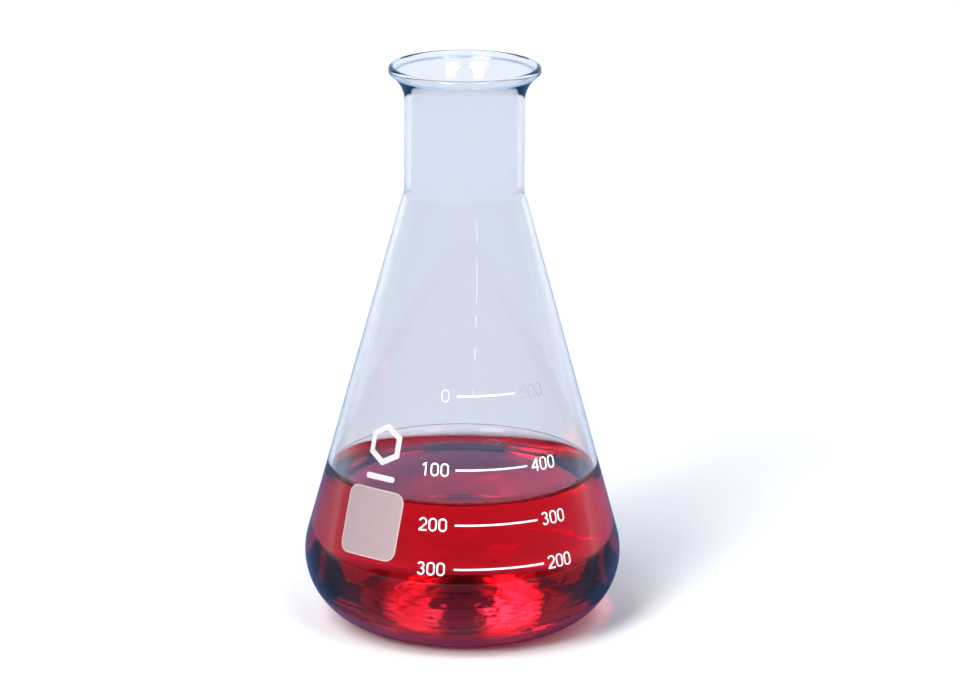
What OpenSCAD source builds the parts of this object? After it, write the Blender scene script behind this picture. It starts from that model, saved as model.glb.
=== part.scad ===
// Conical (Erlenmeyer) flask, 500 mL, part filled with red liquid.
// Blown glass vessel, liquid and fired enamel prints, each in a node of its own.
// Millimetres. Z is the axis of the flask, Z = 0 is the surface that it stands on,
// and the graduated front faces -Y.

/* [Vessel] */
// Widest outside diameter, at the top of the rounded heel
body_d = 104; // [100:1:110]
// Height from the foot to the top of the lip
total_h = 187; // [180:1:200]
// Half angle of the cone, in degrees
cone_angle = 15.3; // [14.5:0.1:16.5]
// Wall thickness of the cone
wall = 1.8; // [1.4:0.1:2.2]
// Outside radius of the rounded heel
heel_r = 24; // [22:0.5:26]
// Inside radius of the rounded heel
inner_heel_r = 22.5; // [18:0.5:23.5]
// Thickness of the base
base_t = 4.6; // [3:0.1:5.5]
// Height that the centre of the base is pushed up
punt_h = 1.5; // [0.8:0.1:2.5]
// Width of the flat ring that the flask stands on
foot_w = 4; // [2:0.5:5]

/* [Neck and lip] */
// Outside diameter of the neck
neck_d = 39; // [36:0.5:41]
// Wall thickness of the neck
neck_wall = 2.1; // [1.8:0.1:2.5]
// Outside radius of the blend between cone and neck
shoulder_r = 14; // [10:1:18]
// Outside diameter of the lip
lip_d = 49.6; // [48:0.2:51]
// Outside radius of the flare below the lip
flare_r = 11.5; // [10:0.5:13]
// Radius that the rim of the lip is rounded to, half the rim's thickness
rim_r = 1.2; // [1.1:0.05:1.5]
// Height of the straight part of the rim
rim_h = 0.4; // [0.2:0.1:1.5]
// Inside radius of the hollow where the funnel turns up into the rim
mouth_fillet = 1.5; // [1:0.1:2]

/* [Liquid] */
// Height of the liquid's surface above the foot
liquid_level = 49.6; // [36:0.2:60]

/* [Graduation] */
// Heights of the 500, 400, 300 and 200 mL marks
mark_z = [86.2, 63.2, 46.1, 32.4]; // [32:0.1:90]
// Angle around the axis where every mark starts, counted from the front
mark_start = -3.1; // [-5:0.1:0]
// Angles around the axis where the marks end
mark_end = [27.3, 29.4, 31.0, 31.3]; // [20:0.1:40]
// Line width of the marks
mark_stroke = 0.56; // [0.4:0.02:0.8]
// Line width of the numerals
digit_stroke = 0.5; // [0.4:0.02:0.6]
// Height of a numeral
digit_h = 4.3; // [3.5:0.1:4.6]
// Width of a numeral
digit_w = 2.7; // [2.5:0.1:2.7]
// Distance from one numeral to the next
digit_pitch = 3.25; // [3.1:0.05:3.6]
// Gaps between the marks' left ends and the numerals beside them
left_gap = [2.4, 2.2, 2.5, 2.9]; // [1:0.1:4]
// Gap between each mark's right end and the numerals beside it
right_gap = 1.6; // [1:0.1:4]

/* [Writing patch] */
// Width of the patch around the flask
patch_w = 22.4; // [18:0.2:26]
// Height of the patch up the cone
patch_h = 22.5; // [18:0.5:24]
// Corner radius of the patch
patch_corner = 3.6; // [2:0.2:6]
// Width of the brighter border around the patch
border_w = 0.4; // [0.3:0.1:1]
// Height of the patch's centre above the foot
patch_z = 43.9; // [42:0.1:46]
// Angle of the patch around the axis
patch_angle = -39; // [-45:1:-36]

/* [Hidden] */

$fn = 96;
glass_colour = [0.80, 0.88, 0.93, 0.35];
liquid_colour = [0.72, 0.08, 0.10, 0.85];
enamel_colour = [0.97, 0.97, 0.97];
patch_colour = [0.86, 0.78, 0.78];

// Outside of the body. The heel's centre sits low by foot_drop, so that the floor plane
// cuts the standing ring flat.
foot_drop = heel_r - sqrt(pow(heel_r, 2) - pow(foot_w / 2, 2));
heel_x = body_d / 2 - heel_r;
heel_z = heel_r - foot_drop;
cone_foot_x = heel_x + heel_r * cos(cone_angle);
cone_foot_z = heel_z + heel_r * sin(cone_angle);
neck_r = neck_d / 2;
bore_r = neck_r - neck_wall;

// Inside of the body. The inner heel touches the inside of the cone and the inside of the base.
inner_heel_z = base_t + inner_heel_r;
cone_offset = cone_foot_x * cos(cone_angle) + cone_foot_z * sin(cone_angle) - wall;
inner_heel_x = (cone_offset - inner_heel_r - inner_heel_z * sin(cone_angle)) / cos(cone_angle);

// Lip: an upright rim with a rounded top. Outside, a flare touches it from below. Inside, the
// wall leans out by funnel_lean and turns up again into the rim.
rim_x = lip_d / 2 - rim_r;
rim_top = total_h - rim_r;
rim_foot = rim_top - rim_h;
flare_x = neck_r + flare_r;
flare_z = rim_foot - sqrt(pow(flare_r + rim_r, 2) - pow(flare_x - rim_x, 2));
mouth_r = rim_x - rim_r;
funnel_lean = 2 * atan2(mouth_r - bore_r, rim_foot - flare_z);
funnel_r = (rim_foot - flare_z) / sin(funnel_lean) - mouth_fillet;
funnel_end = bore_r + funnel_r * (1 - cos(funnel_lean));

// Enamel is fired on as a thin coat. print_depth only has to reach through it.
enamel_t = 0.12;
print_depth = 6;
emblem_r = 6.9;
emblem_stroke = 2.2;
emblem_z = 68.8;
emblem_bar_w = 11.4;
emblem_bar_h = 1.9;
emblem_bar_z = 58.4;
emblem_angle = -37.9;

// The index line is a worn vertical line: where each dash starts and ends, and the angle
// of the line at its lowest and highest point.
index_dashes = [[86.4, 88.9], [97.4, 101], [107.3, 111.3], [115, 129], [133.6, 140.5]];
index_low = [5.1, 86.3];
index_high = [11.9, 143.9];
index_w = 0.35;

// Outside radius of the cone at a height
function cone_r(z) = cone_foot_x - (z - cone_foot_z) * tan(cone_angle);
// Angle that an arc length on the cone covers
function arc_angle(length, z) = length / cone_r(z) * 180 / PI;
// Angle of the index line at a height
function index_angle(z) =
    index_low[0] + (index_high[0] - index_low[0]) * (z - index_low[1]) / (index_high[1] - index_low[1]);

// Half profile of one side of the body's wall, in X (radius) and Y (height): heel arc, dome
// of the pushed-up base, cone, shoulder and neck, cut level at top_z
module body_profile(heel, heel_c, dome_rise, tube, shoulder, top_z) {
    dome = (pow(heel_c.x, 2) + pow(dome_rise, 2)) / (2 * dome_rise) - heel;
    dome_c = [0, heel_c.y - heel + dome_rise - dome];
    dome_edge = dome_c + (heel_c - dome_c) * dome / (dome + heel);
    cone_foot = heel_c + heel * [cos(cone_angle), sin(cone_angle)];
    corner_z = cone_foot.y + (cone_foot.x - tube) / tan(cone_angle);
    bend = shoulder * tan(cone_angle / 2);
    tube_z = corner_z + bend;
    cone_top = [tube + bend * sin(cone_angle), corner_z - bend * cos(cone_angle)];
    difference() {
        union() {
            translate(heel_c) circle(heel);
            polygon([[0, dome_edge.y], dome_edge, heel_c, cone_foot, cone_top,
                [tube + shoulder, tube_z], [tube, tube_z], [tube, top_z], [0, top_z]]);
        }
        translate([tube + shoulder, tube_z]) circle(shoulder);
        translate(dome_c) circle(dome);
        translate([0, -body_d]) square([body_d, body_d]);
    }
}

module outside_profile(top_z) {
    body_profile(heel_r, [heel_x, heel_z], punt_h + foot_drop, neck_r, shoulder_r, top_z);
}

module inside_profile(top_z) {
    body_profile(inner_heel_r, [inner_heel_x, inner_heel_z], punt_h, bore_r, shoulder_r + wall, top_z);
}

// Half profile of everything inside the lip's outer surface: flare and upright rim
module lip_outside() {
    difference() {
        polygon([[0, flare_z], [flare_x, flare_z], [rim_x, rim_foot], [rim_x, rim_top], [0, rim_top]]);
        translate([flare_x, flare_z]) circle(flare_r);
    }
    translate([rim_x, rim_foot]) circle(rim_r);
    translate([rim_x, rim_top]) circle(rim_r);
    translate([rim_x, rim_foot]) square([rim_r, rim_h]);
}

// Half profile of the open mouth: funnel, hollow and the straight inside of the rim
module lip_inside() {
    difference() {
        translate([0, flare_z]) square([funnel_end, body_d]);
        translate([bore_r + funnel_r, flare_z]) circle(funnel_r);
    }
    intersection() {
        translate([mouth_r - mouth_fillet, rim_foot]) circle(mouth_fillet);
        translate([funnel_end, flare_z]) square([body_d, body_d]);
    }
    translate([funnel_end, rim_foot]) square([mouth_r - funnel_end, body_d]);
}

// Puts a flat drawing on the cone, facing outward, at an angle from the front
module on_cone(angle, z) {
    rotate([0, 0, angle])
        translate([0, -cone_r(z), z])
            rotate([90 - cone_angle, 0, 0])
                translate([0, 0, -print_depth / 2])
                    linear_extrude(print_depth) children();
}

// Section of the enamel coat on the cone between two heights
module coat_section(low, high) {
    polygon([[cone_r(low), low], [cone_r(low) + enamel_t, low],
        [cone_r(high) + enamel_t, high], [cone_r(high), high]]);
}

// Coat of enamel in the shape of its children, within reach of a height
module enamel(z, reach) {
    intersection() {
        rotate_extrude() coat_section(z - reach, z + reach);
        children();
    }
}

module rounded_rectangle(w, h, corner) {
    square([w - 2 * corner, h], center = true);
    square([w, h - 2 * corner], center = true);
    for (x = [-1, 1], y = [-1, 1])
        translate([x * (w / 2 - corner), y * (h / 2 - corner)]) circle(corner);
}

// Arc of a ring with the stroke's width, from one angle to another
module stroke_arc(r, from, to) {
    sides = 6;
    reach = 1.5 * r;
    step = (to - from) / sides;
    intersection() {
        difference() {
            circle(r);
            circle(r - digit_stroke);
        }
        polygon(concat([[0, 0]],
            [for (i = [0:sides]) reach * [cos(from + i * step), sin(from + i * step)]]));
    }
}

// The digits stand centred on the origin. Shapes inside them are fractions of the digit's
// width and height.
digit_top = digit_h / 2;
digit_side = digit_w / 2;

module digit_0() {
    corner = 0.96 * digit_side;
    difference() {
        rounded_rectangle(digit_w, digit_h, corner);
        rounded_rectangle(digit_w - 2 * digit_stroke, digit_h - 2 * digit_stroke, corner - digit_stroke);
    }
}

module digit_1() {
    flag_x = -0.3 * digit_w;
    flag_z = digit_top - 0.28 * digit_h;
    polygon([[0, -digit_top], [digit_stroke, -digit_top], [digit_stroke, digit_top],
        [0.2 * digit_stroke, digit_top], [flag_x, flag_z + digit_stroke], [flag_x, flag_z],
        [0, flag_z + 0.8 * digit_stroke]]);
}

module digit_2() {
    turn = -38;
    overlap = 4;
    bowl_z = digit_top - digit_side;
    bend = [cos(turn), sin(turn)];
    translate([0, bowl_z]) stroke_arc(digit_side, turn - overlap, 165);
    polygon([[0, bowl_z] + digit_side * bend, [-0.22 * digit_w, digit_stroke - digit_top],
        [digit_side, digit_stroke - digit_top], [digit_side, -digit_top], [-digit_side, -digit_top],
        [-digit_side, 0.9 * digit_stroke - digit_top], [0, bowl_z] + (digit_side - digit_stroke) * bend]);
}

module digit_3() {
    upper = 0.48 * (digit_h + digit_stroke) / 2;
    lower = (digit_h + digit_stroke) / 2 - upper;
    translate([-0.02 * digit_w, digit_top - upper]) stroke_arc(upper, -90, 160);
    translate([0, lower - digit_top]) stroke_arc(lower, -160, 90);
}

module digit_4() {
    post = 0.2 * digit_w;
    bar = -0.25 * digit_h;
    translate([post, -digit_top]) square([digit_stroke, digit_h]);
    translate([-digit_side, bar]) square([digit_w, digit_stroke]);
    polygon([[-digit_side, bar + digit_stroke], [post, digit_top], [post + digit_stroke / 2, digit_top],
        [post + digit_stroke / 2, digit_top - 2 * digit_stroke],
        [0.75 * digit_stroke - digit_side, bar + digit_stroke / 2], [-digit_side, bar + digit_stroke / 2]]);
}

module digit_5() {
    turn = 145;
    bowl_z = digit_side - digit_top;
    bend = [0, bowl_z] + digit_side * [cos(turn), sin(turn)];
    flag_x = -0.86 * digit_side;
    translate([0, bowl_z]) stroke_arc(digit_side, -160, turn);
    translate([flag_x, digit_top - digit_stroke]) square([-2 * flag_x, digit_stroke]);
    polygon([[flag_x, digit_top - digit_stroke], [flag_x + digit_stroke, digit_top - digit_stroke],
        bend + [0.8 * digit_stroke, 0], bend - [0, digit_stroke]]);
}

module digit(value) {
    if (value == 0) digit_0();
    if (value == 1) digit_1();
    if (value == 2) digit_2();
    if (value == 3) digit_3();
    if (value == 4) digit_4();
    if (value == 5) digit_5();
}

// Row of numerals that starts at an angle, centred on a height
module numerals(digits, z, start) {
    color(enamel_colour)
        enamel(z, 0.6 * digit_h)
            for (i = [0:len(digits) - 1])
                on_cone(start + arc_angle(digit_w / 2 + i * digit_pitch, z), z) digit(digits[i]);
}

// Volume left to pour, to the left of mark i
module poured(digits, i) {
    row_w = digit_w + (len(digits) - 1) * digit_pitch;
    numerals(digits, mark_z[i], mark_start - arc_angle(left_gap[i] + row_w, mark_z[i]));
}

// Volume held, to the right of mark i
module filled(digits, i) {
    numerals(digits, mark_z[i], mark_end[i] + arc_angle(right_gap, mark_z[i]));
}

module mark(i) {
    half = mark_stroke / 2 * cos(cone_angle);
    color(enamel_colour)
        rotate([0, 0, mark_start - 90])
            rotate_extrude(angle = mark_end[i] - mark_start)
                coat_section(mark_z[i] - half, mark_z[i] + half);
}

module vessel() {
    color(glass_colour)
        rotate_extrude() {
            difference() {
                outside_profile(flare_z);
                inside_profile(flare_z + 1);
            }
            difference() {
                lip_outside();
                lip_inside();
            }
        }
}

module liquid() {
    color(liquid_colour)
        rotate_extrude()
            intersection() {
                inside_profile(flare_z);
                square([body_d, liquid_level]);
            }
}

module marking_spot() {
    color(patch_colour)
        enamel(patch_z, 0.6 * patch_h)
            on_cone(patch_angle, patch_z)
                rounded_rectangle(patch_w - 2 * border_w, patch_h - 2 * border_w, patch_corner - border_w);
}

module marking_spot_border() {
    color(enamel_colour)
        enamel(patch_z, 0.6 * patch_h)
            on_cone(patch_angle, patch_z)
                difference() {
                    rounded_rectangle(patch_w, patch_h, patch_corner);
                    rounded_rectangle(patch_w - 2 * border_w, patch_h - 2 * border_w,
                        patch_corner - border_w);
                }
}

module mark_500() { mark(0); }
module mark_400() { mark(1); }
module mark_300() { mark(2); }
module mark_200() { mark(3); }
module poured_0() { poured([0], 0); }
module poured_100() { poured([1, 0, 0], 1); }
module poured_200() { poured([2, 0, 0], 2); }
module poured_300() { poured([3, 0, 0], 3); }
module filled_500() { filled([5, 0, 0], 0); }
module filled_400() { filled([4, 0, 0], 1); }
module filled_300() { filled([3, 0, 0], 2); }
module filled_200() { filled([2, 0, 0], 3); }

// Worn vertical line above the 500 mL mark, leaning a little off the cone's own line
module index_line() {
    middle = (index_low.y + index_high.y) / 2;
    lean_rate = (index_high.x - index_low.x) / (index_high.y - index_low.y) * PI / 180;
    color(enamel_colour)
        enamel(middle, index_high.y - middle)
            for (dash = index_dashes) {
                z = (dash[0] + dash[1]) / 2;
                on_cone(index_angle(z), z)
                    rotate(-atan(lean_rate * cone_r(z)))
                        square([index_w, (dash[1] - dash[0]) / cos(cone_angle)], center = true);
            }
}

module emblem_ring() {
    color(enamel_colour)
        enamel(emblem_z, 1.2 * emblem_r)
            on_cone(emblem_angle, emblem_z)
                rotate(30)
                    difference() {
                        circle(emblem_r, $fn = 6);
                        circle(emblem_r - emblem_stroke, $fn = 6);
                    }
}

module emblem_bar() {
    color(enamel_colour)
        enamel(emblem_bar_z, emblem_bar_h)
            on_cone(emblem_angle, emblem_bar_z)
                rounded_rectangle(emblem_bar_w, emblem_bar_h, 0.4 * emblem_bar_h);
}

vessel();
liquid();
marking_spot();
marking_spot_border();
mark_500();
mark_400();
mark_300();
mark_200();
poured_0();
poured_100();
poured_200();
poured_300();
filled_500();
filled_400();
filled_300();
filled_200();
index_line();
emblem_ring();
emblem_bar();
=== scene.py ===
"""Erlenmeyer flask with red liquid: the looks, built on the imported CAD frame.

Metres, Z up, origin at the foot, and the graduated front faces -Y.
"""
import math

import bmesh
import bpy
from mathutils import Matrix, Vector


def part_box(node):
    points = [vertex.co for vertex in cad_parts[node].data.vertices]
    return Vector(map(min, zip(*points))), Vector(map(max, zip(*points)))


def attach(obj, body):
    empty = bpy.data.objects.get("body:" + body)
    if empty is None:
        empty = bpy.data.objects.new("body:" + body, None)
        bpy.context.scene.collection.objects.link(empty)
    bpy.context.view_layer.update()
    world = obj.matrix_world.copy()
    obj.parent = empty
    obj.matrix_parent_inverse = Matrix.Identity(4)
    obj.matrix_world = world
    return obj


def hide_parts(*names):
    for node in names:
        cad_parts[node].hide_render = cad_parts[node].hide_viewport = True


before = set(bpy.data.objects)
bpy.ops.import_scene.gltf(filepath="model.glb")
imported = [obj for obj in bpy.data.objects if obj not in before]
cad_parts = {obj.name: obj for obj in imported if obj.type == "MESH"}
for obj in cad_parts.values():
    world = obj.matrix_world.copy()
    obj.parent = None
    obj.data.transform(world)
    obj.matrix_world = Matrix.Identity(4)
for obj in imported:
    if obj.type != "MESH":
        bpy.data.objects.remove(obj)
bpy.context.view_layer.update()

# ---------------------------------------------------------------- sizes, as in the CAD model
MM = 0.001
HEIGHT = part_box("vessel")[1][2]
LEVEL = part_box("liquid")[1][2]
CONE_ANGLE = math.radians(15.3)
WALL = 1.8 * MM
HEEL_R = 24 * MM
HEEL_X = 28 * MM
INNER_HEEL_R = 22.5 * MM
BASE_T = 4.6 * MM
PUNT_H = 1.5 * MM
FOOT_HALF = 2 * MM
NECK_R = 19.5 * MM
NECK_WALL = 2.1 * MM
SHOULDER_R = 14 * MM
LIP_R = 24.8 * MM
RIM_R = 1.2 * MM
RIM_H = 0.4 * MM
MOUTH_FILLET = 1.5 * MM
FLARE_R = 11.5 * MM
ENAMEL_T = 0.12 * MM

FOOT_DROP = HEEL_R - math.sqrt(HEEL_R**2 - FOOT_HALF**2)
HEEL_Z = HEEL_R - FOOT_DROP
CONE_FOOT_X = HEEL_X + HEEL_R * math.cos(CONE_ANGLE)
CONE_FOOT_Z = HEEL_Z + HEEL_R * math.sin(CONE_ANGLE)
CONE_OFFSET = CONE_FOOT_X * math.cos(CONE_ANGLE) + CONE_FOOT_Z * math.sin(CONE_ANGLE) - WALL
INNER_HEEL_Z = BASE_T + INNER_HEEL_R
INNER_HEEL_X = (CONE_OFFSET - INNER_HEEL_R - INNER_HEEL_Z * math.sin(CONE_ANGLE)) / math.cos(CONE_ANGLE)
BORE_R = NECK_R - NECK_WALL
RIM_X = LIP_R - RIM_R
RIM_TOP = HEIGHT - RIM_R
RIM_FOOT = RIM_TOP - RIM_H
FLARE_X = NECK_R + FLARE_R
FLARE_Z = RIM_FOOT - math.sqrt((FLARE_R + RIM_R) ** 2 - (FLARE_X - RIM_X) ** 2)
MOUTH_R = RIM_X - RIM_R
FUNNEL_LEAN = 2 * math.atan2(MOUTH_R - BORE_R, RIM_FOOT - FLARE_Z)
FUNNEL_R = (RIM_FOOT - FLARE_Z) / math.sin(FUNNEL_LEAN) - MOUTH_FILLET

# ---------------------------------------------------------------- sizes of the looks
TURNS = 320  # facets around the axis
LIQUID_OVERLAP = 0.15 * MM  # the liquid reaches this far into the glass, so no air shows between
CAPILLARY = 2.7 * MM  # capillary length of water
MENISCUS_H = 4.4 * MM  # how far the liquid climbs the wall
EDGE_Z = LEVEL + MENISCUS_H
SURFACE_REACH = 24 * MM  # the surface is flat further than this from the wall
RIPPLE_H = 0.003 * MM
RIPPLE_TOP = 34 * MM  # the ripples have faded away at this height
RIPPLE_FADE = 14 * MM
RING_WAVES = [(0.62 * MM, 1.0), (0.33 * MM, 0.7), (0.17 * MM, 0.3)]  # length and share of each
AROUND_WAVES = 14  # waves around the axis, which slip sideways once in AROUND_SLIP
AROUND_SLIP = 3 * MM
ENAMEL_GAP = 0.01 * MM
ENAMEL_EDGE = 1.2 * MM  # longest edge in a print, so that it bends with the cone

FLOOR_R = 30.0
# The mat named here and below is no real mat but a sheet seen only in reflections, a painted reflection.
FLOOR_DROP = 0.2 * MM  # the floor lies this far under the foot, and the mat half as far
FLOOR_COLOUR = (0.67, 0.67, 0.67)
# Painted reflection: the dark steel-blue that the glass shows at its edges.
PAINTED_REFLECTION_COLOUR = (0.04, 0.12, 0.26)
PAINTED_REFLECTION_BLUE_R = 200 * MM  # the mat is plain blue this far out and has faded away at PAINTED_REFLECTION_R
PAINTED_REFLECTION_R = 1.8
DISC_SIDES = 96

CAMERA_DISTANCE = 1.75
CAMERA_PITCH = math.radians(15.613)
CAMERA_ROLL = math.radians(0.298)
CAMERA_LENS = 200.4
CAMERA_SHIFT = (0.0173, 0.0181)
AIM_Z = 90 * MM

GLASS_IOR = 1.473
LIQUID_IOR = 1.336

# The surround behind the flask, by sine of the angle above the horizon, and in front of it.
BACKDROP = [
    (-0.02, (0.62, 0.62, 0.65)),
    (0.10, (0.50, 0.60, 0.75)),
    (0.27, (0.22, 0.45, 0.75)),
    (0.50, (0.35, 0.42, 0.60)),
    (1.0, (0.12, 0.18, 0.30)),
]
DIM_FRONT = (0.03, 0.035, 0.05)
SURROUND_STRENGTH = 1.6

# Soft lights: azimuth from the camera's side and elevation in degrees, width and height as for
# a light at 1 m, and radiance.
LIGHT_DISTANCE = 20.0
WINDOWS = {
    "left_window_top": (-36, 56, 0.40, 0.32, 16),
    "left_window": (-30, 33, 0.28, 0.38, 30),
    "right_window_top": (31, 56, 0.32, 0.32, 9),
    "right_window": (30, 33, 0.32, 0.38, 5),
    "top_panel": (180, 80, 1.0, 1.0, 0.7),
}


# ---------------------------------------------------------------- profiles
def arc(centre, radius, start, end, steps):
    """Points along an arc in the half profile plane, from one angle to another, in degrees."""
    points = []
    for i in range(steps + 1):
        angle = math.radians(start + (end - start) * i / steps)
        points.append((centre[0] + radius * math.cos(angle), centre[1] + radius * math.sin(angle)))
    return points


def between(a, b, steps):
    """Points between a and b, without the ends."""
    return [(a[0] + (b[0] - a[0]) * i / steps, a[1] + (b[1] - a[1]) * i / steps) for i in range(1, steps)]


def wall_side(heel, heel_x, heel_z, rise, tube, shoulder):
    """Half profile of one side of the wall, from the centre of the base to the top of the neck."""
    lean = math.degrees(CONE_ANGLE)
    dome = (heel_x**2 + rise**2) / (2 * rise) - heel
    dome_z = heel_z - heel + rise - dome
    dome_end = math.degrees(math.atan2(heel_z - dome_z, heel_x))
    foot_x = heel_x + heel * math.cos(CONE_ANGLE)
    foot_z = heel_z + heel * math.sin(CONE_ANGLE)
    corner_z = foot_z + (foot_x - tube) / math.tan(CONE_ANGLE)
    bend_z = corner_z + shoulder * math.tan(CONE_ANGLE / 2)
    points = arc((0, dome_z), dome, 90, dome_end, 60)
    points += arc((heel_x, heel_z), heel, dome_end - 180, lean, 180)[1:]
    bend = arc((tube + shoulder, bend_z), shoulder, 180 + lean, 180, 16)
    points += between(points[-1], bend[0], 60) + bend
    points += between(points[-1], (tube, FLARE_Z), 16) + [(tube, FLARE_Z)]
    points[0] = (0, points[0][1])
    return points


def outside_side():
    """Outside of the body, cut flat where it stands."""
    points = wall_side(HEEL_R, HEEL_X, HEEL_Z, PUNT_H + FOOT_DROP, NECK_R, SHOULDER_R)
    return [(x, max(z, 0.0)) for x, z in points]


def inside_side(overlap):
    """Inside of the body, or a curve that lies a little way into the glass."""
    return wall_side(INNER_HEEL_R + overlap, INNER_HEEL_X, INNER_HEEL_Z, PUNT_H,
                     BORE_R + overlap, SHOULDER_R + WALL - overlap)


def lip_side():
    """Half profile of the lip, from the outside of the neck over the rim and down into the bore."""
    to_rim = math.degrees(math.atan2(RIM_FOOT - FLARE_Z, RIM_X - FLARE_X))
    lean = math.degrees(FUNNEL_LEAN)
    points = arc((FLARE_X, FLARE_Z), FLARE_R, 180, to_rim, 32)[1:]
    points += arc((RIM_X, RIM_FOOT), RIM_R, to_rim - 180, 0, 16)[1:]
    points += arc((RIM_X, RIM_TOP), RIM_R, 0, 180, 40)
    points += arc((MOUTH_R - MOUTH_FILLET, RIM_FOOT), MOUTH_FILLET, 0, -lean, 16)
    points += arc((BORE_R + FUNNEL_R, FLARE_Z), FUNNEL_R, 180 - lean, 180, 32)[1:-1]
    return points


def cut_at(curve, z):
    """The part of a wall curve below a height, ending exactly at it."""
    low = [point for point in curve if point[1] < z]
    (x0, z0), (x1, z1) = low[-1], curve[len(low)]
    return low + [(x0 + (x1 - x0) * (z - z0) / (z1 - z0), z)]


def meniscus_x(h):
    """Distance along the surface of still water where it stands h above its flat level."""
    return CAPILLARY * (math.acosh(2 * CAPILLARY / h) - 2 * math.sqrt(1 - (h / (2 * CAPILLARY)) ** 2))


def surface_side(edge_r):
    """Half profile of the liquid's surface, from its edge on the wall in to the axis."""
    points = []
    start = meniscus_x(MENISCUS_H)
    steps = 60
    for i in range(1, steps + 1):
        h = MENISCUS_H * (1 - i / (steps + 1)) ** 2
        points.append((edge_r - meniscus_x(h) + start, LEVEL + h))
    flat = (edge_r - SURFACE_REACH, LEVEL)
    return points + [flat] + between(flat, (0, LEVEL), 12) + [(0, LEVEL)]


def cone_radius(z):
    """Outside radius of the cone at a height."""
    return CONE_FOOT_X - (z - CONE_FOOT_Z) * math.tan(CONE_ANGLE)


# ---------------------------------------------------------------- meshes
def new_object(name, mesh, material, stands_for):
    """A smooth shaded piece in the scene that rides on the flask."""
    obj = bpy.data.objects.new(name, mesh)
    bpy.context.scene.collection.objects.link(obj)
    mesh.materials.append(material)
    for polygon in mesh.polygons:
        polygon.use_smooth = True
    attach(obj, "root")
    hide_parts(stands_for)
    return obj


def join_rings(bm, low, high):
    """Faces between two rings, either of which may be a single point on the axis."""
    for k in range(TURNS):
        n = (k + 1) % TURNS
        if len(low) == 1:
            bm.faces.new((low[0], high[n], high[k]))
        elif len(high) == 1:
            bm.faces.new((low[k], low[n], high[0]))
        else:
            bm.faces.new((low[k], low[n], high[n], high[k]))


def lathe(name, profile, wet, ripple=None):
    """Closed mesh turned from a profile that starts and ends on the axis.

    wet has a number for each point of the profile: 1 where glass and liquid touch, for the
    materials to read. ripple(angle, run, z) lifts the surface off the profile.
    """
    mesh = bpy.data.meshes.new(name)
    bm = bmesh.new()
    rings = []
    run = 0.0
    for i, (x, z) in enumerate(profile):
        before = Vector(profile[max(i - 1, 0)])
        along = (Vector(profile[min(i + 1, len(profile) - 1)]) - before).normalized()
        run += (Vector((x, z)) - before).length
        ring = []
        for k in range(TURNS if x > 0 else 1):
            angle = 2 * math.pi * k / TURNS
            lift = ripple(angle, run, z) if ripple and x > 0 else 0.0
            r = x + lift * along.y
            ring.append(bm.verts.new((r * math.cos(angle), r * math.sin(angle), z - lift * along.x)))
        rings.append(ring)
    for low, high in zip(rings, rings[1:]):
        join_rings(bm, low, high)
    bmesh.ops.recalc_face_normals(bm, faces=bm.faces)
    bm.to_mesh(mesh)
    bm.free()
    layer = mesh.attributes.new("wetted", "FLOAT", "POINT")
    layer.data.foreach_set("value", [flag for flag, ring in zip(wet, rings) for _ in ring])
    return mesh


def heel_ripple(angle, run, z):
    """Unevenness that moulding leaves under the base and round the heel.

    Wandering rings, and waves around the axis that slip sideways from one ring to the next.
    """
    off_floor = min(1.0, z / (0.3 * MM))
    fade = off_floor * min(1.0, max(0.0, (RIPPLE_TOP - z) / RIPPLE_FADE))
    wander = 0.9 * math.sin(3 * angle + 1.0) + 0.6 * math.sin(8 * angle + 2.0)
    rings = sum(share * math.sin(run / length + turn * wander)
                for turn, (length, share) in enumerate(RING_WAVES, start=1))
    waves = math.sin(AROUND_WAVES * angle + 2 * math.sin(run / AROUND_SLIP))
    return RIPPLE_H * fade * (rings + waves)


def build_vessel():
    """One closed body of glass: outside, lip and inside."""
    outside = outside_side() + lip_side()
    wall = inside_side(0)
    low = cut_at(wall, EDGE_Z)
    just_above = cut_at(wall, EDGE_Z + 0.05 * MM)[-1]
    high = [just_above] + wall[len(low):]
    profile = outside + high[::-1] + low[::-1]
    wet = [0.0] * (len(outside) + len(high)) + [1.0] * len(low)
    outside_end = sum(math.dist(a, b) for a, b in zip(outside, outside[1:]))

    def ripple(angle, run, z):
        return heel_ripple(angle, run, z) if run < outside_end else 0.0

    mesh = lathe("vessel_glass", profile, wet, ripple)
    return new_object("vessel_glass", mesh, glass_material(), "vessel")


def build_liquid():
    """The liquid: its sides sit just inside the glass and its surface climbs the wall."""
    side = cut_at(inside_side(LIQUID_OVERLAP), EDGE_Z)
    edge = cut_at(inside_side(0), EDGE_Z)[-1]
    surface = [edge] + surface_side(edge[0])
    wet = [1.0] * len(side) + [0.0] * len(surface)
    mesh = lathe("liquid_body", side + surface, wet)
    return new_object("liquid_body", mesh, liquid_material(), "liquid")


def refine(bm):
    """Cuts a print finer until no edge is too long to bend."""
    for _ in range(6):
        long_edges = [edge for edge in bm.edges if edge.calc_length() > ENAMEL_EDGE]
        if not long_edges:
            return
        bmesh.ops.subdivide_edges(bm, edges=long_edges, cuts=1)
        bmesh.ops.triangulate(bm, faces=bm.faces)


def build_print(node, material):
    """A print's CAD outline, cut fine and laid on the true cone, so that it bends with the glass."""
    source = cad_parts[node]
    bm = bmesh.new()
    bm.from_mesh(source.data)
    bmesh.ops.transform(bm, matrix=source.matrix_world, verts=bm.verts)
    refine(bm)
    for vertex in bm.verts:
        r = math.hypot(vertex.co.x, vertex.co.y)
        cone = cone_radius(vertex.co.z)
        target = cone + (ENAMEL_T if r > cone + ENAMEL_T / 2 else ENAMEL_GAP)
        vertex.co.x *= target / r
        vertex.co.y *= target / r
    bmesh.ops.recalc_face_normals(bm, faces=bm.faces)
    mesh = bpy.data.meshes.new(node + "_print")
    bm.to_mesh(mesh)
    bm.free()
    return new_object(node + "_print", mesh, material, node)


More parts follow.
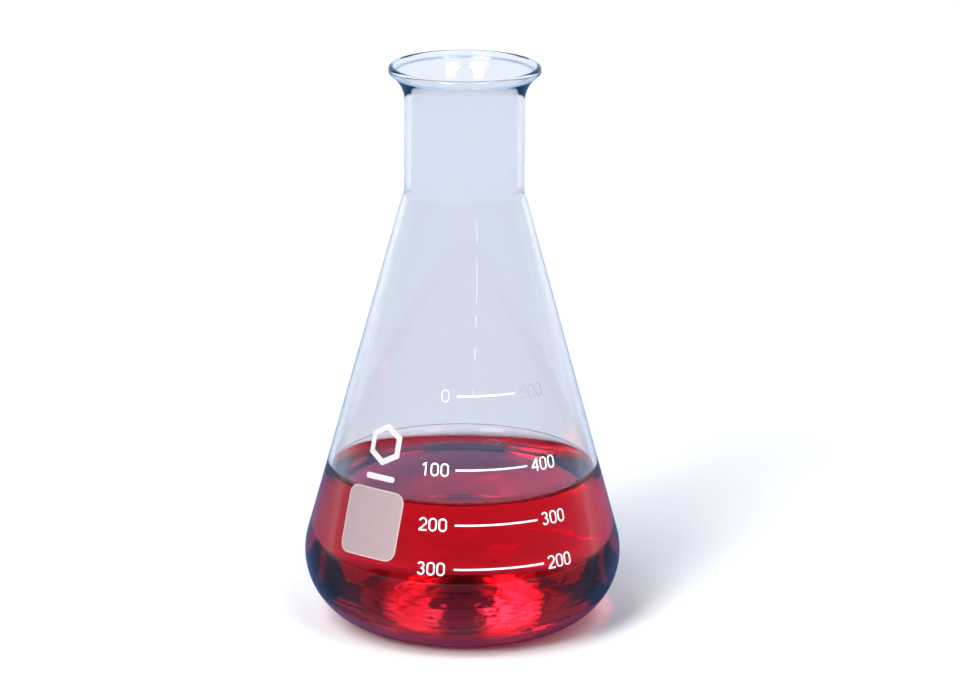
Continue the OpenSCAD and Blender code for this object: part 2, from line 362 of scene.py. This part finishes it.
# ---------------------------------------------------------------- materials
def principled(name):
    """A new material, its nodes, its links and its Principled shader."""
    material = bpy.data.materials.new(name)
    material.use_nodes = True
    tree = material.node_tree
    return material, tree.nodes, tree.links, tree.nodes["Principled BSDF"]


def blend_node(nodes, start, end=(0, 0, 0)):
    """Mix node that goes from one colour to another as its factor rises."""
    blend = nodes.new("ShaderNodeMix")
    blend.data_type = "RGBA"
    blend.inputs["A"].default_value = (*start, 1)
    blend.inputs["B"].default_value = (*end, 1)
    return blend


def clear_material(name, ior, colour, shine, tint, density):
    """Clear stuff that tints light by depth. Where it is wetted, its mirror is taken off."""
    material, nodes, links, shader = principled(name)
    shader.inputs["Base Color"].default_value = (*colour, 1)
    shader.inputs["Roughness"].default_value = 0.0
    shader.inputs["IOR"].default_value = ior
    shader.inputs["Transmission Weight"].default_value = 1.0
    wet = nodes.new("ShaderNodeAttribute")
    wet.attribute_name = "wetted"
    mirror = blend_node(nodes, (shine, shine, shine))
    links.new(wet.outputs["Fac"], mirror.inputs["Factor"])
    links.new(mirror.outputs["Result"], shader.inputs["Specular Tint"])
    absorb = nodes.new("ShaderNodeVolumeAbsorption")
    absorb.inputs["Color"].default_value = (*tint, 1)
    absorb.inputs["Density"].default_value = density
    links.new(absorb.outputs["Volume"], nodes["Material Output"].inputs["Volume"])
    return material


def glass_material():
    """Borosilicate glass, faintly blue."""
    return clear_material("borosilicate", GLASS_IOR, colour=(0.80, 0.82, 0.855), shine=0.6,
                          tint=(0.5, 0.7, 0.9), density=6.0)


def liquid_material():
    """Water with a strong red dye."""
    return clear_material("red_water", LIQUID_IOR, colour=(1, 1, 1), shine=1.0,
                          tint=(0.95, 0.12, 0.25), density=58.0)


def enamel_material(name, colour, worn_colour, wear_scale, roughness):
    """Fired enamel: uneven in colour, with a fine grain."""
    material, nodes, links, shader = principled(name)
    place = nodes.new("ShaderNodeTexCoord")
    cloud = nodes.new("ShaderNodeTexNoise")
    cloud.inputs["Scale"].default_value = wear_scale
    cloud.inputs["Detail"].default_value = 4
    links.new(place.outputs["Object"], cloud.inputs["Vector"])
    blend = blend_node(nodes, worn_colour, colour)
    links.new(cloud.outputs["Fac"], blend.inputs["Factor"])
    links.new(blend.outputs["Result"], shader.inputs["Base Color"])
    grain = nodes.new("ShaderNodeTexNoise")
    grain.inputs["Scale"].default_value = 4000
    links.new(place.outputs["Object"], grain.inputs["Vector"])
    bump = nodes.new("ShaderNodeBump")
    bump.inputs["Strength"].default_value = 0.15
    bump.inputs["Distance"].default_value = 0.02 * MM
    links.new(grain.outputs["Fac"], bump.inputs["Height"])
    links.new(bump.outputs["Normal"], shader.inputs["Normal"])
    shader.inputs["Roughness"].default_value = roughness
    return material


def floor_material():
    """Plain pale floor."""
    material, _, _, shader = principled("pale_floor")
    shader.inputs["Base Color"].default_value = (*FLOOR_COLOUR, 1)
    shader.inputs["Roughness"].default_value = 0.9
    shader.inputs["Specular IOR Level"].default_value = 0.1
    return material


def painted_reflection_material():
    """Painted reflection colour: matt steel-blue that fades into the colour of the floor."""
    material, nodes, links, shader = principled("steel_blue_painted_reflection")
    place = nodes.new("ShaderNodeTexCoord")
    reach = nodes.new("ShaderNodeVectorMath")
    reach.operation = "LENGTH"
    links.new(place.outputs["Object"], reach.inputs[0])
    fade = nodes.new("ShaderNodeMapRange")
    fade.interpolation_type = "SMOOTHSTEP"
    fade.inputs["From Min"].default_value = PAINTED_REFLECTION_BLUE_R
    fade.inputs["From Max"].default_value = PAINTED_REFLECTION_R
    links.new(reach.outputs["Value"], fade.inputs["Value"])
    blend = blend_node(nodes, PAINTED_REFLECTION_COLOUR, FLOOR_COLOUR)
    links.new(fade.outputs["Result"], blend.inputs["Factor"])
    links.new(blend.outputs["Result"], shader.inputs["Base Color"])
    shader.inputs["Roughness"].default_value = 0.9
    return material


def build_prints():
    """Every enamel print, with the worn ones in a fainter enamel."""
    white = enamel_material("white_enamel", (0.93, 0.93, 0.93), (0.86, 0.86, 0.87), 260, 0.45)
    worn = enamel_material("worn_enamel", (0.40, 0.44, 0.49), (0.31, 0.35, 0.40), 900, 0.6)
    patch = enamel_material("patch_enamel", (0.29, 0.215, 0.225), (0.26, 0.19, 0.195), 500, 0.6)
    border = enamel_material("border_enamel", (0.41, 0.34, 0.35), (0.34, 0.275, 0.285), 500, 0.6)
    thin = enamel_material("thin_enamel", (0.50, 0.475, 0.485), (0.43, 0.405, 0.415), 400, 0.5)
    special = {"marking_spot": patch, "marking_spot_border": border,
               "filled_500": worn, "index_line": thin, "poured_0": thin,
               "emblem_ring": thin, "emblem_bar": thin}
    for node in sorted(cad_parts):
        if node in ("vessel", "liquid"):
            continue
        build_print(node, special.get(node, white))


# ---------------------------------------------------------------- stage, light and camera
def build_disc(name, radius, z, material):
    """Flat round thing that the flask stands on, which isn't part of it."""
    mesh = bpy.data.meshes.new(name)
    bm = bmesh.new()
    bmesh.ops.create_circle(bm, cap_ends=True, segments=DISC_SIDES, radius=radius)
    bm.to_mesh(mesh)
    bm.free()
    disc = bpy.data.objects.new(name, mesh)
    bpy.context.scene.collection.objects.link(disc)
    disc.location.z = z
    mesh.materials.append(material)
    return disc


def build_painted_reflection_sheet():
    """Painted reflection: a steel-blue sheet round the foot, hidden from the camera and seen only in
    reflections, which paints the glass's dark edges.
    """
    mat = build_disc("mat", PAINTED_REFLECTION_R, -FLOOR_DROP / 2, painted_reflection_material())
    mat.visible_camera = False
    mat.visible_diffuse = False
    mat.visible_transmission = False
    mat.visible_shadow = False


def build_world():
    """Soft studio surround: bright low behind the flask, blue higher up there, dim in front."""
    world = bpy.data.worlds.new("studio")
    world.use_nodes = True
    bpy.context.scene.world = world
    nodes, links = world.node_tree.nodes, world.node_tree.links
    place = nodes.new("ShaderNodeTexCoord")
    axes = nodes.new("ShaderNodeSeparateXYZ")
    links.new(place.outputs["Generated"], axes.inputs["Vector"])
    rise = nodes.new("ShaderNodeMapRange")
    rise.inputs["From Min"].default_value = -1.0
    links.new(axes.outputs["Z"], rise.inputs["Value"])
    height = nodes.new("ShaderNodeValToRGB")
    height.color_ramp.interpolation = "EASE"
    stops = height.color_ramp.elements
    while len(stops) < len(BACKDROP):
        stops.new(0.5)
    for stop, (up, colour) in zip(stops, BACKDROP):
        stop.position = (up + 1) / 2
        stop.color = (*colour, 1)
    links.new(rise.outputs["Result"], height.inputs["Fac"])
    side = nodes.new("ShaderNodeMapRange")
    side.interpolation_type = "SMOOTHSTEP"
    side.inputs["From Min"].default_value = -0.1
    side.inputs["From Max"].default_value = 0.7
    links.new(axes.outputs["Y"], side.inputs["Value"])
    mix = blend_node(nodes, DIM_FRONT)
    links.new(side.outputs["Result"], mix.inputs["Factor"])
    links.new(height.outputs["Color"], mix.inputs["B"])
    links.new(mix.outputs["Result"], nodes["Background"].inputs["Color"])
    nodes["Background"].inputs["Strength"].default_value = SURROUND_STRENGTH


def build_window(name, azimuth, elevation, width, height, radiance):
    """Rectangular soft light far off, aimed at the flask. Azimuth 0 is the camera's side."""
    light = bpy.data.lights.new(name, "AREA")
    light.shape = "RECTANGLE"
    light.size = width * LIGHT_DISTANCE
    light.size_y = height * LIGHT_DISTANCE
    light.energy = radiance * math.pi * light.size * light.size_y
    obj = bpy.data.objects.new(name, light)
    bpy.context.scene.collection.objects.link(obj)
    az, el = math.radians(azimuth), math.radians(elevation)
    out = Vector((math.cos(el) * math.sin(az), -math.cos(el) * math.cos(az), math.sin(el)))
    obj.location = Vector((0, 0, HEIGHT / 2)) + LIGHT_DISTANCE * out
    obj.rotation_euler = out.to_track_quat("Z", "Y").to_euler()


def build_camera():
    """The photograph's viewpoint: a long lens from in front, looking 15.6 degrees down."""
    data = bpy.data.cameras.new("camera")
    data.sensor_width = 36
    data.lens = CAMERA_LENS
    data.shift_x, data.shift_y = CAMERA_SHIFT
    camera = bpy.data.objects.new("camera", data)
    bpy.context.scene.collection.objects.link(camera)
    back = CAMERA_DISTANCE * math.cos(CAMERA_PITCH)
    up = CAMERA_DISTANCE * math.sin(CAMERA_PITCH)
    look = Matrix.Rotation(math.pi / 2 - CAMERA_PITCH, 4, "X") @ Matrix.Rotation(CAMERA_ROLL, 4, "Z")
    camera.matrix_world = Matrix.Translation((0, -back, AIM_Z + up)) @ look
    bpy.context.scene.camera = camera


build_vessel()
build_liquid()
build_prints()
build_disc("floor", FLOOR_R, -FLOOR_DROP, floor_material())
build_painted_reflection_sheet()
build_world()
for name, values in WINDOWS.items():
    build_window(name, *values)
build_camera()

scene = bpy.context.scene
scene.view_settings.view_transform = "Standard"
scene.cycles.max_bounces = 24
scene.cycles.transmission_bounces = 24
scene.cycles.glossy_bounces = 12
scene.cycles.blur_glossy = 0.0  # keeps the light that the liquid focuses under the flask
scene.cycles.caustics_refractive = True
scene.cycles.caustics_reflective = True
